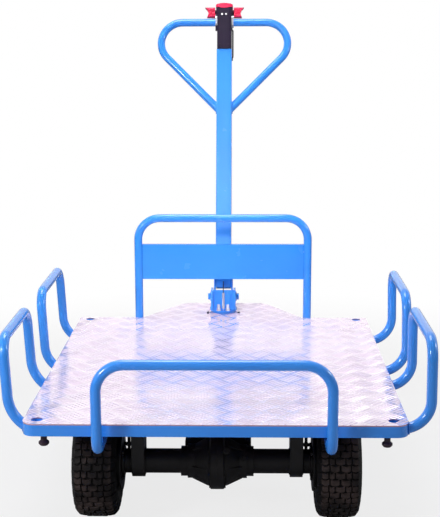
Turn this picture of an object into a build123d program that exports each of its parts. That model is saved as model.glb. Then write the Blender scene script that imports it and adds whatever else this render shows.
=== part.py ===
from build123d import *
import os
from math import cos, radians, sin, tan

# Electric platform truck with a tread plate deck, walked from a tiller.
# Millimetres, floor at Z 0, +Y towards the tiller, +X to the right as seen from behind.
# ALONG values run from the deck's rear edge, and REAR_EDGE puts them round the middle.

# Driving dimensions of the deck and its frame
DECK_WIDTH = 900
DECK_LENGTH = 1000
DECK_HEIGHT = 325
PLATE = 3
RAIL_WIDTH = 40
RAIL_DEPTH = 27
REAR_CORNER = 30
NOSE_BASE = 500
NOSE_TIP = 270
NOSE_LENGTH = 195
NOSE_CORNER = 50
BEARER_SPREAD = 400
BEARER_WIDTH = 32
CROSS_MEMBERS = (150, 470, 740)

# Stake sockets and lashing knobs, one at each corner
SOCKET_SPREAD = 834
SOCKET_REAR_INSET = 33
SOCKET_FRONT_INSET = 22
SOCKET_BORE = 27
SOCKET_OUTER = 34
KNOB_SPREAD = 804
KNOB_INSET = 30

# Bent tube: bars and hoops
TUBE = 25
REAR_BAR_SPREAD = 538
REAR_BAR_BEHIND = 38
REAR_BAR_RISE = 154
REAR_BAR_BEND = 65
REAR_BAR_FOOT_BEND = 36
REAR_BAR_STUB = 105
REAR_BAR_DROP = 13
HEADBOARD_SPREAD = 530
HEADBOARD_RISE = 316
HEADBOARD_BEND = 68
SIGN_BOTTOM = 122
SIGN_TOP = 233
SIGN_PLATE = 3
SIGN_LIP = 12
SIDE_HOOP_RISE = 191
SIDE_HOOP_ROOT = 8
SIDE_HOOP_TOP_BEND = 45
SIDE_HOOPS = (  # name, side, rear leg and front leg along, reach, slope at the foot, lean outwards
    ("rear_left", -1, 43, 345, 33, 40, 3),
    ("front_left", -1, 516, 840, 27, 40, 3),
    ("rear_right", 1, 32, 352, 53, 12, -0.5),
    ("front_right", 1, 482, 795, 56, 12, -1),
)

# Wheels, 11x4.00-5 size
TYRE_RADIUS = 140
TYRE_WIDTH = 110
RIM_RADIUS = 64
RIM_WIDTH = 82
TRACK = 605
AXLE_HEIGHT = TYRE_RADIUS
SPINDLE = 25
RUNNING_GAP = 0.05
DRUM_RADIUS = 64
BRAKE_RADIUS = 74
AXLE_END = 62
ROD_SPREAD = 450

# Drive axle, motor, battery and controller
REAR_AXLE_ALONG = 250
AXLE_TUBE = 62
CASE_RADIUS = 62
CASE_FLANGE = 71
CASE_HALF = 92
MOTOR_RADIUS = 68
MOTOR_LENGTH = 136
REDUCTION_LENGTH = 34
MOTOR_HEIGHT = 190
BATTERY_SIZE = (570, 170, 110)
BATTERY_ALONG = 595
TRAY_WALL = 3
CONTROLLER_SIZE = (150, 130, 60)
CONTROLLER_GROOVES = 6

# Steered front bogie
STEER_ALONG = 1090
HEAD_TUBE = 76
HEAD_COLLAR = 4
PIN_FLANGE = 88
PIN_FLANGE_THICK = 6
TURNING_GAP = 5
KING_PIN = 45
RING_RADIUS = 90
RING_THICK = 10
UPPER_RING_HEIGHT = 262
FRONT_BEAM = 50

# Tiller, leaning towards the person who walks ahead; UP values run along it from the tilt pin
TILLER_LEAN = 18
PIVOT_RISE = 48
BRACKET_WIDTH = 79
CHEEK_PLATE = 8
WEB_PLATE = 5
BRACKET_BEHIND = 36
BRACKET_FRONT = 24
BRACKET_RISE = 76
SPRING = 9
FORK_PLATE = 5
FORK_TOP = 112
TILT_PIN = 14
TILT_PIN_HEAD = 34
TILLER_POST = 50
POST_WALL = 3
POST_FOOT = 27
LUG_UP = 34
POST_TOP = 814
LOOP_APEX = 597
LOOP_BAR = 911
LOOP_SLOPE = 45.7
LOOP_BEND = 71
HEAD_WIDTH = 47
HEAD_DEPTH = 58
HEAD_TOP = 958
CAP_WIDTH = 56
CAP_DEPTH = 59
CAP_ENDS = (958.5, 963.7)
CAP_MIDDLE = (952, 968.5)
CLAMP_THICK = 6
THROTTLE_UP = 944
THROTTLE_INNER = 31
THROTTLE_HALF = 16.5
THROTTLE_THICK = 20
CABLE = 5

# Values worked out from the driving dimensions
FRAME_BOTTOM = DECK_HEIGHT - PLATE - RAIL_DEPTH
FRAME_MIDDLE = FRAME_BOTTOM + RAIL_DEPTH / 2
PIVOT_HEIGHT = DECK_HEIGHT + PIVOT_RISE
LEAN = radians(TILLER_LEAN)

os.makedirs("parts", exist_ok=True)


def bar(x_range, y_range, z_range):
    """Straight bar or plate between two corners."""
    low = [min(pair) for pair in (x_range, y_range, z_range)]
    high = [max(pair) for pair in (x_range, y_range, z_range)]
    size = [b - a for a, b in zip(low, high)]
    middle = [(a + b) / 2 for a, b in zip(low, high)]
    return Pos(*middle) * Box(*size)


def bent_tube(points, bends, diameter):
    """Round tube along straight runs joined by bends."""
    path = FilletPolyline(*points, radius=bends)
    return sweep(Plane(origin=path @ 0, z_dir=path % 0) * Circle(diameter / 2), path=path)


def upright(x, along, bottom, top, diameter):
    """Round bar standing on Z."""
    return Pos(x, along, (bottom + top) / 2) * Cylinder(diameter / 2, top - bottom)


def across(x_range, along, height, diameter):
    """Round bar lying along X."""
    low, high = min(x_range), max(x_range)
    return Pos((low + high) / 2, along, height) * Rot(0, 90, 0) * Cylinder(diameter / 2, high - low)


def mirrored(shape):
    """The same piece on the other side."""
    return mirror(shape, about=Plane.YZ)


# Corners of the deck, where sockets and knobs go
SOCKETS = [(side * SOCKET_SPREAD / 2, along) for side in (-1, 1)
           for along in (SOCKET_REAR_INSET, DECK_LENGTH - SOCKET_FRONT_INSET)]
KNOBS = [(side * KNOB_SPREAD / 2, along) for side in (-1, 1)
         for along in (KNOB_INSET, DECK_LENGTH - KNOB_INSET)]


def deck_outline():
    """Deck seen from above, with round rear corners and the nose under the tiller."""
    deck = Pos(0, DECK_LENGTH / 2) * Rectangle(DECK_WIDTH, DECK_LENGTH)
    deck = fillet(deck.vertices().sort_by(Axis.Y)[:2], REAR_CORNER)
    return deck + nose_outline(0)


def nose_outline(inset):
    """Tapered nose, drawn smaller by inset for the rails behind its edge."""
    base = NOSE_BASE / 2 - inset
    tip = NOSE_TIP / 2 - inset
    front = DECK_LENGTH + NOSE_LENGTH - inset
    nose = make_face(Polyline((-base, DECK_LENGTH), (-tip, front), (tip, front),
                              (base, DECK_LENGTH), close=True))
    return fillet(nose.vertices().sort_by(Axis.Y)[-2:], NOSE_CORNER - inset / 2)


def deck_plate():
    """Tread plate, one sheet with its nose, pierced for the stakes and the steering head."""
    sheet = extrude(Plane.XY.offset(DECK_HEIGHT - PLATE) * deck_outline(), PLATE)
    for x, along in SOCKETS:
        sheet -= upright(x, along, FRAME_BOTTOM, DECK_HEIGHT + 5, SOCKET_BORE)
    return sheet - upright(0, STEER_ALONG, FRAME_BOTTOM, DECK_HEIGHT + 5, HEAD_TUBE)


def clear_sockets(rail):
    """Notch a rail round the stake sockets that are welded into it."""
    for x, along in SOCKETS:
        rail -= upright(x, along, FRAME_BOTTOM - 1, DECK_HEIGHT, SOCKET_OUTER)
    return rail


def rear_rail():
    """Rear rail, with the deck's round corners."""
    face = deck_outline() & Pos(0, RAIL_WIDTH / 2) * Rectangle(DECK_WIDTH, RAIL_WIDTH)
    return clear_sockets(extrude(Plane.XY.offset(FRAME_BOTTOM) * face, RAIL_DEPTH))


def front_rail():
    """Front rail, square at its ends."""
    half = DECK_WIDTH / 2
    return clear_sockets(bar((-half, half), (DECK_LENGTH - RAIL_WIDTH, DECK_LENGTH),
                             (FRAME_BOTTOM, DECK_HEIGHT - PLATE)))


def side_rail(side):
    """Side rail between the rear and front rails."""
    edge = side * DECK_WIDTH / 2
    return clear_sockets(bar((edge, edge - side * RAIL_WIDTH), (RAIL_WIDTH, DECK_LENGTH - RAIL_WIDTH),
                             (FRAME_BOTTOM, DECK_HEIGHT - PLATE)))


def bearers():
    """Two long bearers that carry the drive axle and the battery."""
    half = BEARER_SPREAD / 2
    right = bar((half - BEARER_WIDTH / 2, half + BEARER_WIDTH / 2),
                (RAIL_WIDTH, DECK_LENGTH - RAIL_WIDTH), (FRAME_BOTTOM, DECK_HEIGHT - PLATE))
    return mirrored(right), right


def cross_members():
    """Three cross members, each cut into lengths between rails and bearers."""
    inner = BEARER_SPREAD / 2 - BEARER_WIDTH / 2
    outer = BEARER_SPREAD / 2 + BEARER_WIDTH / 2
    lengths = ((-DECK_WIDTH / 2 + RAIL_WIDTH, -outer), (-inner, inner),
               (outer, DECK_WIDTH / 2 - RAIL_WIDTH))
    return [bar(span, (along, along + RAIL_WIDTH * 0.75), (FRAME_BOTTOM, DECK_HEIGHT - PLATE))
            for along in CROSS_MEMBERS for span in lengths]


def nose_rail():
    """Rail bent round the edge of the nose, welded to the front rail."""
    rim = nose_outline(0) - nose_outline(25)
    return extrude(Plane.XY.offset(FRAME_BOTTOM) * rim, RAIL_DEPTH)


def steering_head():
    """Tube for the king pin, its two carriers, and the fixed upper ring of the turntable."""
    head = upright(0, STEER_ALONG, UPPER_RING_HEIGHT, DECK_HEIGHT + HEAD_COLLAR, HEAD_TUBE)
    head += upright(0, STEER_ALONG, UPPER_RING_HEIGHT, UPPER_RING_HEIGHT + RING_THICK, 2 * RING_RADIUS)
    front = DECK_LENGTH + NOSE_LENGTH - 25
    for side in (-1, 1):
        head += bar((side * 30, side * 50), (DECK_LENGTH, front), (FRAME_BOTTOM, DECK_HEIGHT - PLATE))
    return head - upright(0, STEER_ALONG, 200, 400, KING_PIN + 2 * RUNNING_GAP)


def stake_sockets():
    """Four short pipes flush with the deck, open right through."""
    pipes = []
    for x, along in SOCKETS:
        pipe = upright(x, along, FRAME_BOTTOM, DECK_HEIGHT - PLATE, SOCKET_OUTER)
        pipes.append(pipe - upright(x, along, FRAME_BOTTOM - 1, DECK_HEIGHT, SOCKET_BORE))
    return pipes


def corner_knobs():
    """Lashing knobs: a small weld cone, a thin stem and a flared head under each corner."""
    profile = Polyline((0, 0), (7, 0), (3, -4), (3, -9.5), (7.5, -9.5), (7.5, -18.5), (12.5, -23),
                       (12.5, -27.5), (9, -31.5), (0, -31.5), close=True)
    knob = revolve(Plane.XZ * make_face(profile), Axis.Z)
    return [Pos(x, along, FRAME_BOTTOM) * knob for x, along in KNOBS]


def rear_bar():
    """Push bar behind the deck, its legs turned forward under packers on the rear rail."""
    half = REAR_BAR_SPREAD / 2
    behind = -REAR_BAR_BEHIND
    low = FRAME_BOTTOM - REAR_BAR_DROP - TUBE / 2
    high = DECK_HEIGHT + REAR_BAR_RISE
    points = [(-half, REAR_BAR_STUB, low), (-half, behind, low), (-half, behind, high),
              (half, behind, high), (half, behind, low), (half, REAR_BAR_STUB, low)]
    tube = bent_tube(points, (REAR_BAR_FOOT_BEND, REAR_BAR_BEND, REAR_BAR_BEND, REAR_BAR_FOOT_BEND), TUBE)
    for side in (-1, 1):
        tube += bar((side * (half - 9), side * (half + 9)), (4, RAIL_WIDTH), (low, FRAME_BOTTOM))
    return tube


def headboard_hoop():
    """Tall hoop at the front edge of the deck, welded to the front rail."""
    half = HEADBOARD_SPREAD / 2
    along = DECK_LENGTH + TUBE / 2
    high = DECK_HEIGHT + HEADBOARD_RISE
    points = [(-half, along, FRAME_BOTTOM), (-half, along, high), (half, along, high),
              (half, along, FRAME_BOTTOM)]
    return bent_tube(points, HEADBOARD_BEND, TUBE)


def headboard_plate():
    """Plate between the hoop's legs, its long edges folded forwards as stiffening lips."""
    half = HEADBOARD_SPREAD / 2 - TUBE / 2
    along = DECK_LENGTH + TUBE / 2
    low, high = DECK_HEIGHT + SIGN_BOTTOM, DECK_HEIGHT + SIGN_TOP
    plate = bar((-half, half), (along - SIGN_PLATE / 2, along + SIGN_LIP), (low, high))
    return plate - bar((-half - 1, half + 1), (along + SIGN_PLATE / 2, along + SIGN_LIP + 1),
                       (low + SIGN_PLATE, high - SIGN_PLATE))


def side_hoop(side, rear_leg, front_leg, reach, foot_slope, lean):
    """Hoop on the frame's side: each foot curves up into its leg, under a level top bar."""
    slope = radians(foot_slope)
    foot_bend = reach / (1 - sin(slope))
    high = (DECK_HEIGHT + SIDE_HOOP_RISE - FRAME_MIDDLE) / cos(radians(lean))
    root = (-SIDE_HOOP_ROOT, -SIDE_HOOP_ROOT * tan(slope))
    corner = (reach, reach * tan(slope))
    points = [(root[0], rear_leg, root[1]), (corner[0], rear_leg, corner[1]), (reach, rear_leg, high),
              (reach, front_leg, high), (corner[0], front_leg, corner[1]), (root[0], front_leg, root[1])]
    bends = (foot_bend, SIDE_HOOP_TOP_BEND, SIDE_HOOP_TOP_BEND, foot_bend)
    hoop = Pos(DECK_WIDTH / 2, 0, FRAME_MIDDLE) * Rot(0, lean, 0) * bent_tube(points, bends, TUBE)
    hoop -= bar((0, DECK_WIDTH / 2), (rear_leg - TUBE, front_leg + TUBE), (FRAME_BOTTOM - TUBE, DECK_HEIGHT + TUBE))
    return hoop if side > 0 else mirrored(hoop)


def axle_case(side):
    """Half of the cast drive axle: bell, tube and the flange where both halves meet."""
    end = TRACK / 2 - AXLE_END
    profile = make_face(Polyline(
        (0, 0), (0, CASE_FLANGE), (16, CASE_FLANGE), (18.5, CASE_FLANGE - 3), (18.5, CASE_RADIUS),
        (24, CASE_RADIUS), (56, 43), (75, 43), (75, 38), (CASE_HALF, 38), (CASE_HALF, AXLE_TUBE / 2),
        (end, AXLE_TUBE / 2), (end, 0), close=True))
    half = revolve(Plane.XZ * profile, Axis.X)
    half -= Pos(end - 12, 0, 0) * Rot(0, 90, 0) * Cylinder(SPINDLE / 2 + RUNNING_GAP, 26)
    half = Pos(0, REAR_AXLE_ALONG, AXLE_HEIGHT) * half
    return half if side > 0 else mirrored(half)


def axle_hangers():
    """Two brackets from the bearers down round the axle tube."""
    hangers = []
    for side in (-1, 1):
        x = side * BEARER_SPREAD / 2
        outline = make_face(Polyline((-45, FRAME_BOTTOM), (-40, AXLE_HEIGHT), (40, AXLE_HEIGHT),
                                     (45, FRAME_BOTTOM), close=True))
        outline += Pos(0, AXLE_HEIGHT) * Circle(40)
        outline -= Pos(0, AXLE_HEIGHT) * Circle(AXLE_TUBE / 2)
        outline -= Pos(0, (FRAME_BOTTOM + AXLE_HEIGHT + 40) / 2 + 6) * RectangleRounded(50, 60, 12)
        plate = extrude(Plane.YZ * outline, BEARER_WIDTH / 2, both=True)
        hangers.append(Pos(x, REAR_AXLE_ALONG, 0) * plate)
    return hangers


def reduction_case():
    """Gear case in front of the axle: a neck from the bell, and the flange for the motor."""
    outline = Pos(0, MOTOR_HEIGHT) * Circle(MOTOR_RADIUS) + Pos(0, 125) * Rectangle(172, 80)
    outline += Pos(0, 160) * Rectangle(142, 150)
    start = REAR_AXLE_ALONG + CASE_FLANGE
    case = extrude(Plane.XZ.offset(-start) * outline, -REDUCTION_LENGTH)
    neck = Pos(0, start - 15, AXLE_HEIGHT) * Rot(90, 0, 0) * Cylinder(46, 30)
    return case + (neck - axle_case(1) - axle_case(-1))


def drive_motor():
    """Direct current motor lying along the truck, with its end cap."""
    start = REAR_AXLE_ALONG + CASE_FLANGE + REDUCTION_LENGTH
    cap = MOTOR_LENGTH - 34
    profile = Polyline((0, 0), (MOTOR_RADIUS, 0), (MOTOR_RADIUS, cap), (MOTOR_RADIUS - 4, cap),
                       (MOTOR_RADIUS - 4, MOTOR_LENGTH - 8), (MOTOR_RADIUS - 12, MOTOR_LENGTH),
                       (0, MOTOR_LENGTH), close=True)
    body = revolve(make_face(profile), Axis.Y)
    return Pos(0, start, MOTOR_HEIGHT) * body


def brake_plates():
    """Round back plates of the two drum brakes, on the ends of the axle tubes."""
    start = TRACK / 2 - AXLE_END
    ring = Circle(BRAKE_RADIUS) - Circle(SPINDLE / 2 + 5)
    plate = Pos(start, REAR_AXLE_ALONG, AXLE_HEIGHT) * extrude(Plane.YZ * ring, 4)
    return mirrored(plate), plate


def brake_rods():
    """Thin rods beside the brakes, from lugs on the bearers down to the axle tubes."""
    rods = []
    for side in (-1, 1):
        edge = side * (BEARER_SPREAD + BEARER_WIDTH) / 2
        rod = upright(side * ROD_SPREAD / 2, REAR_AXLE_ALONG, AXLE_HEIGHT + AXLE_TUBE / 2 - 1, FRAME_BOTTOM + 8, 8)
        rod += bar((edge, side * (ROD_SPREAD / 2 + 5)), (REAR_AXLE_ALONG - 10, REAR_AXLE_ALONG + 10),
                   (FRAME_BOTTOM + 4, FRAME_BOTTOM + 14))
        rods.append(rod - across((edge, side * TRACK / 2), REAR_AXLE_ALONG, AXLE_HEIGHT, AXLE_TUBE))
    return rods


def battery_tray():
    """Folded steel tray hung from the bearers by its flanges."""
    width, length, height = BATTERY_SIZE
    wall = TRAY_WALL
    bottom = FRAME_BOTTOM - height - wall - 8
    y0, y1 = BATTERY_ALONG - length / 2 - wall, BATTERY_ALONG + length / 2 + wall
    half = width / 2 + wall
    tray = bar((-half, half), (y0, y1), (bottom, FRAME_BOTTOM))
    tray -= bar((-width / 2, width / 2), (y0 + wall, y1 - wall), (bottom + wall, FRAME_BOTTOM + 1))
    return tray


def battery():
    """Battery block in its tray."""
    width, length, height = BATTERY_SIZE
    bottom = FRAME_BOTTOM - height - 8
    y0 = BATTERY_ALONG - length / 2
    return bar((-width / 2, width / 2), (y0, y0 + length), (bottom, bottom + height))


def controller():
    """Motor controller under the right bearer beside the motor, its case ribbed below for cooling."""
    width, length, height = CONTROLLER_SIZE
    x0 = MOTOR_RADIUS + 40
    y0 = REAR_AXLE_ALONG + 110
    bottom = FRAME_BOTTOM - height
    case = bar((x0, x0 + width), (y0, y0 + length), (bottom, FRAME_BOTTOM))
    for groove in range(CONTROLLER_GROOVES):
        x = x0 + (groove + 0.5) * width / CONTROLLER_GROOVES
        case -= bar((x - 6, x + 6), (y0 - 1, y0 + length + 1), (bottom - 1, bottom + 14))
    return case


def turntable():
    """Turning lower ring with two webs that stand on the front beam."""
    top = UPPER_RING_HEIGHT - 5
    ring = upright(0, STEER_ALONG, top - RING_THICK, top, 2 * RING_RADIUS)
    ring += upright(0, STEER_ALONG, top, UPPER_RING_HEIGHT - 0.5, KING_PIN + 36)
    web = make_face(Polyline((-70, top - RING_THICK), (-32, AXLE_HEIGHT + FRONT_BEAM / 2),
                             (32, AXLE_HEIGHT + FRONT_BEAM / 2), (70, top - RING_THICK), close=True))
    for side in (-1, 1):
        ring += Pos(side * 50, STEER_ALONG, 0) * extrude(Plane.YZ * web, 4, both=True)
    return ring


def king_pin():
    """King pin through the steering head, with the round flange that carries the tiller."""
    flange = DECK_HEIGHT + TURNING_GAP
    pin = upright(0, STEER_ALONG, UPPER_RING_HEIGHT - 0.5, flange, KING_PIN)
    return pin + upright(0, STEER_ALONG, flange, flange + PIN_FLANGE_THICK, PIN_FLANGE)


def front_axle():
    """Square front beam with a spindle at each end."""
    half = FRONT_BEAM / 2
    end = TRACK / 2 - TYRE_WIDTH / 2 - 22
    beam = bar((-end, end), (STEER_ALONG - half, STEER_ALONG + half), (AXLE_HEIGHT - half, AXLE_HEIGHT + half))
    return beam + across((-TRACK / 2 - 30, TRACK / 2 + 30), STEER_ALONG, AXLE_HEIGHT, SPINDLE)


def tiller_bracket():
    """Two thick cheeks for the tilt pin, with a web between their rear edges."""
    base = DECK_HEIGHT + TURNING_GAP + PIN_FLANGE_THICK
    top = DECK_HEIGHT + BRACKET_RISE
    half = BRACKET_WIDTH / 2
    inner = half - CHEEK_PLATE
    cheek = make_face(Polyline((-BRACKET_BEHIND, base), (-BRACKET_BEHIND, top), (6, top),
                               (BRACKET_FRONT, PIVOT_HEIGHT), (BRACKET_FRONT, base), close=True))
    cheek = fillet(cheek.vertices().sort_by(Axis.X)[-2:].sort_by(Axis.Y)[-1:], 20)
    bracket = extrude(Plane.YZ * cheek, half, both=True)
    bracket -= bar((-inner, inner), (WEB_PLATE - BRACKET_BEHIND, BRACKET_FRONT + 1), (base - 1, top + 1))
    bracket -= across((-half - 1, half + 1), 0, PIVOT_HEIGHT, TILT_PIN)
    return Pos(0, STEER_ALONG, 0) * bracket


def tilt_pin():
    """Pin through both cheeks, on which the tiller tilts, with a low round head at each end."""
    half = BRACKET_WIDTH / 2
    profile = Polyline((0, 0), (TILT_PIN / 2, 0), (TILT_PIN / 2, half), (TILT_PIN_HEAD / 2, half),
                       (TILT_PIN_HEAD / 2 - 3, half + 3), (0, half + 3), close=True)
    right = Rot(0, 90, 0) * revolve(Plane.XZ * make_face(profile), Axis.Z)
    return Pos(0, STEER_ALONG, PIVOT_HEIGHT) * (right + mirrored(right))


def return_spring():
    """Spring that holds the tiller up, hooked on the flange and standing behind the web."""
    foot = DECK_HEIGHT + TURNING_GAP + PIN_FLANGE_THICK
    return upright(0, STEER_ALONG - BRACKET_BEHIND - SPRING / 2 - 0.5, foot, foot + 62, SPRING)


# The tiller's own plane: X across, Y up along the post from the tilt pin, Z to the rear
TILLER = Plane(origin=(0, STEER_ALONG, PIVOT_HEIGHT), x_dir=(1, 0, 0), z_dir=(0, -cos(LEAN), sin(LEAN)))


def tiller_fork():
    """Two plates on the post's sides that reach down to the tilt pin."""
    half = TILLER_POST / 2
    outline = make_face(Polyline((-half, FORK_TOP), (-half, POST_FOOT), (-9, -10), (9, -10),
                                 (half, POST_FOOT), (half, FORK_TOP), close=True))
    outline += Circle(TILT_PIN)
    outline -= Circle(TILT_PIN / 2 + RUNNING_GAP)
    plate = Rot(0, -90, 0) * extrude(outline, FORK_PLATE)
    plates = []
    for side in (-1, 1):
        start = half + FORK_PLATE if side > 0 else -half
        plates.append(TILLER.location * Pos(start, 0, 0) * plate)
    return plates


def tiller_post():
    """Square post, hollow, with a lug at its foot for the return spring."""
    outer = RectangleRounded(TILLER_POST, TILLER_POST, 5)
    inner = RectangleRounded(TILLER_POST - 2 * POST_WALL, TILLER_POST - 2 * POST_WALL, 2)
    post = Pos(0, POST_FOOT, 0) * Rot(-90, 0, 0) * extrude(outer - inner, POST_TOP - POST_FOOT)
    post += bar((-4, 4), (LUG_UP, LUG_UP + 16), (TILLER_POST / 2 - 2, TILLER_POST / 2 + 13))
    return TILLER.location * post


def handle_loop():
    """Closed handle: a level bar, wide shoulders and two diagonals down to the post."""
    slope = tan(radians(LOOP_SLOPE))
    corner = (LOOP_BAR - LOOP_APEX) / slope
    points = [(5, LOOP_APEX + 5 * slope, 0), (corner, LOOP_BAR, 0),
              (HEAD_WIDTH / 2 + CLAMP_THICK, LOOP_BAR, 0)]
    post = Pos(0, POST_TOP / 2, 0) * Box(TILLER_POST, POST_TOP, TILLER_POST)
    right = bent_tube(points, LOOP_BEND, TUBE) - post
    return [TILLER.location * mirrored(right), TILLER.location * right]


def head_clamps():
    """Bright clamp plates between the head's sides and the ends of the handle bar."""
    inner = HEAD_WIDTH / 2
    plate = bar((inner, inner + CLAMP_THICK), (LOOP_BAR - 16, LOOP_BAR + 20), (-18, 18))
    plate = fillet(plate.edges().filter_by(Axis.X), 8)
    return [TILLER.location * mirrored(plate), TILLER.location * plate]


def control_head():
    """Moulded head on top of the post, wider where the throttles' shaft passes through."""
    half = HEAD_WIDTH / 2
    head = bar((-half, half), (POST_TOP, HEAD_TOP), (-HEAD_DEPTH / 2, HEAD_DEPTH / 2))
    head = fillet(head.edges().filter_by(Axis.Y), 9)
    wide = CAP_WIDTH / 2 - 1
    upper = bar((-wide, wide), (LOOP_BAR + 20, HEAD_TOP), (-HEAD_DEPTH / 2 + 4, HEAD_DEPTH / 2 - 4))
    head += fillet(upper.edges().filter_by(Axis.Y), 9)
    head += Pos(0, THROTTLE_UP, 0) * Rot(0, 90, 0) * Cylinder(9, 2 * THROTTLE_INNER)
    head += bar((-half - 6, -half), (LOOP_BAR - 31, LOOP_BAR - 16), (6, 20))
    return TILLER.location * (head - cap_form())


def cap_form():
    """Wide push button over the head's top, arched above and below, in the tiller's own plane."""
    half = CAP_WIDTH / 2
    (end_low, end_high), (middle_low, middle_high) = CAP_ENDS, CAP_MIDDLE
    arch = make_face(ThreePointArc((-half, end_high), (0, middle_high), (half, end_high))
                     + Line((half, end_high), (half, end_low))
                     + ThreePointArc((half, end_low), (0, middle_low), (-half, end_low))
                     + Line((-half, end_low), (-half, end_high)))
    cap = extrude(arch, CAP_DEPTH / 2, both=True)
    return fillet(cap.edges().filter_by(Axis.Y), 8)


def cap_button():
    """Push button on top of the head."""
    return TILLER.location * cap_form()


def throttle(side):
    """Thumb lever beside the head, flared above and below a hollow outer edge."""
    half = THROTTLE_HALF
    inner, top, waist, foot = THROTTLE_INNER, 64, 53.5, 57.5
    outline = make_face(Line((inner, -half), (inner, half)) + Line((inner, half), (top, half))
                        + ThreePointArc((top, half), (waist, -2), (foot, -half))
                        + Line((foot, -half), (inner, -half)))
    lever = extrude(outline, THROTTLE_THICK / 2, both=True)
    lever = Pos(0, THROTTLE_UP, 0) * fillet(lever.edges().filter_by(Axis.X), 4)
    return TILLER.location * (lever if side > 0 else mirrored(lever))


def control_cable():
    """Cable from the head's side, below the clamp, down into the post's side."""
    inner = TILLER_POST / 2 - 6
    outer = TILLER_POST / 2 + CABLE / 2 + 0.5
    points = [(inner, POST_TOP + 76, 8), (outer, POST_TOP + 66, 8), (outer, POST_TOP - 24, 8),
              (inner, POST_TOP - 36, 8)]
    cable = bent_tube(points, 8, CABLE)
    cable -= Pos(0, POST_TOP / 2, 0) * Box(TILLER_POST, POST_TOP, TILLER_POST)
    cable -= Pos(0, POST_TOP + 50, 0) * Box(HEAD_WIDTH, 100, HEAD_DEPTH)
    return TILLER.location * cable


def tyre(x, along):
    """Tyre with round shoulders and full side walls."""
    half, crown = TYRE_WIDTH / 2, TYRE_RADIUS
    bead = RIM_WIDTH / 2 - 4
    profile = make_face(Polyline(
        (-bead, RIM_RADIUS), (-bead, 74), (-half + 2, 92), (-half, 108), (-half + 3, 126), (-half + 12, 136),
        (-20, crown), (20, crown), (half - 12, 136), (half - 3, 126), (half, 108), (half - 2, 92),
        (bead, 74), (bead, RIM_RADIUS), close=True))
    return Pos(x, along, AXLE_HEIGHT) * revolve(Plane.XZ * profile, Axis.X)


def rim(side, driven):
    """Pressed rim with its disc and hub, outer face towards +X before it is placed."""
    half = RIM_WIDTH / 2
    profile = make_face(Polyline(
        (-half, RIM_RADIUS - 4), (-half, 72), (-half + 4, 72), (-half + 4, RIM_RADIUS), (half - 4, RIM_RADIUS),
        (half - 4, 72), (half, 72), (half, RIM_RADIUS - 4), (14, RIM_RADIUS - 4), (8, 40), (8, 28), (26, 28),
        (26, 0), (-34, 0), (-34, 28), (0, 28), (0, 40), (5, RIM_RADIUS - 4), close=True))
    wheel = revolve(Plane.XZ * profile, Axis.X)
    if driven:
        wheel += Pos(-46, 0, 0) * Rot(0, 90, 0) * Cylinder(DRUM_RADIUS, 22)
        wheel += Pos(-38, 0, 0) * Rot(0, 90, 0) * Cylinder(DRUM_RADIUS - 14, 30)
        wheel += Pos(-66, 0, 0) * Rot(0, 90, 0) * Cylinder(SPINDLE / 2, 40)
    else:
        wheel -= Rot(0, 90, 0) * Cylinder(SPINDLE / 2 + RUNNING_GAP, 120)
    return wheel if side > 0 else mirrored(wheel)


# The truck's middle, between the pieces that reach furthest, goes over the origin
HOOPS = {name: side_hoop(*row) for name, *row in SIDE_HOOPS}
FAR_PIECES = [piece.bounding_box() for piece in (rear_bar(), cap_button(), *HOOPS.values())]
SIDE_SHIFT = -(min(far.min.X for far in FAR_PIECES) + max(far.max.X for far in FAR_PIECES)) / 2
REAR_EDGE = -(min(far.min.Y for far in FAR_PIECES) + max(far.max.Y for far in FAR_PIECES)) / 2


def save(node, *solids):
    """Write one node, moved so that the truck's middle is over the origin."""
    placed = [Pos(SIDE_SHIFT, REAR_EDGE, 0) * solid for solid in solids]
    export_step(placed[0] if len(placed) == 1 else Compound(placed), f"parts/{node}.step")


save("deck_plate", deck_plate())
save("rear_rail", rear_rail())
save("front_rail", front_rail())
for side, word in ((-1, "left"), (1, "right")):
    save(f"side_rail_{word}", side_rail(side))
save("bearers", *bearers())
save("cross_members", *cross_members())
save("nose_rail", nose_rail())
save("steering_head", steering_head())
save("stake_sockets", *stake_sockets())
save("corner_knobs", *corner_knobs())
save("rear_bar", rear_bar())
save("headboard_hoop", headboard_hoop())
save("headboard_plate", headboard_plate())
for side, word in ((-1, "left"), (1, "right")):
    save(f"axle_case_{word}", axle_case(side))
for name, hoop in HOOPS.items():
    save(f"side_hoop_{name}", hoop)
save("axle_hangers", *axle_hangers())
save("reduction_case", reduction_case())
save("drive_motor", drive_motor())
save("brake_plates", *brake_plates())
save("brake_rods", *brake_rods())
save("battery_tray", battery_tray())
save("battery", battery())
save("controller", controller())
save("turntable", turntable())
save("king_pin", king_pin())
save("front_axle", front_axle())
save("tiller_bracket", tiller_bracket())
save("tilt_pin", tilt_pin())
save("return_spring", return_spring())
save("tiller_fork", *tiller_fork())
save("tiller_post", tiller_post())
save("handle_loop", *handle_loop())
save("head_clamps", *head_clamps())
save("control_head", control_head())
save("cap_button", cap_button())
save("control_cable", control_cable())
for side, word in ((-1, "left"), (1, "right")):
    save(f"throttle_{word}", throttle(side))
    for end, along in (("rear", REAR_AXLE_ALONG), ("front", STEER_ALONG)):
        save(f"{end}_tyre_{word}", tyre(side * TRACK / 2, along))
        wheel = Pos(side * TRACK / 2, along, AXLE_HEIGHT) * rim(side, end == "rear")
        save(f"{end}_rim_{word}", wheel)
print("deck's middle at", round(SIDE_SHIFT, 3), "and its rear edge at", round(REAR_EDGE, 3))
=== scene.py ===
from math import cos, pi, radians, sin, sqrt

import bmesh
import bpy
from mathutils import Matrix, Vector


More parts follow.
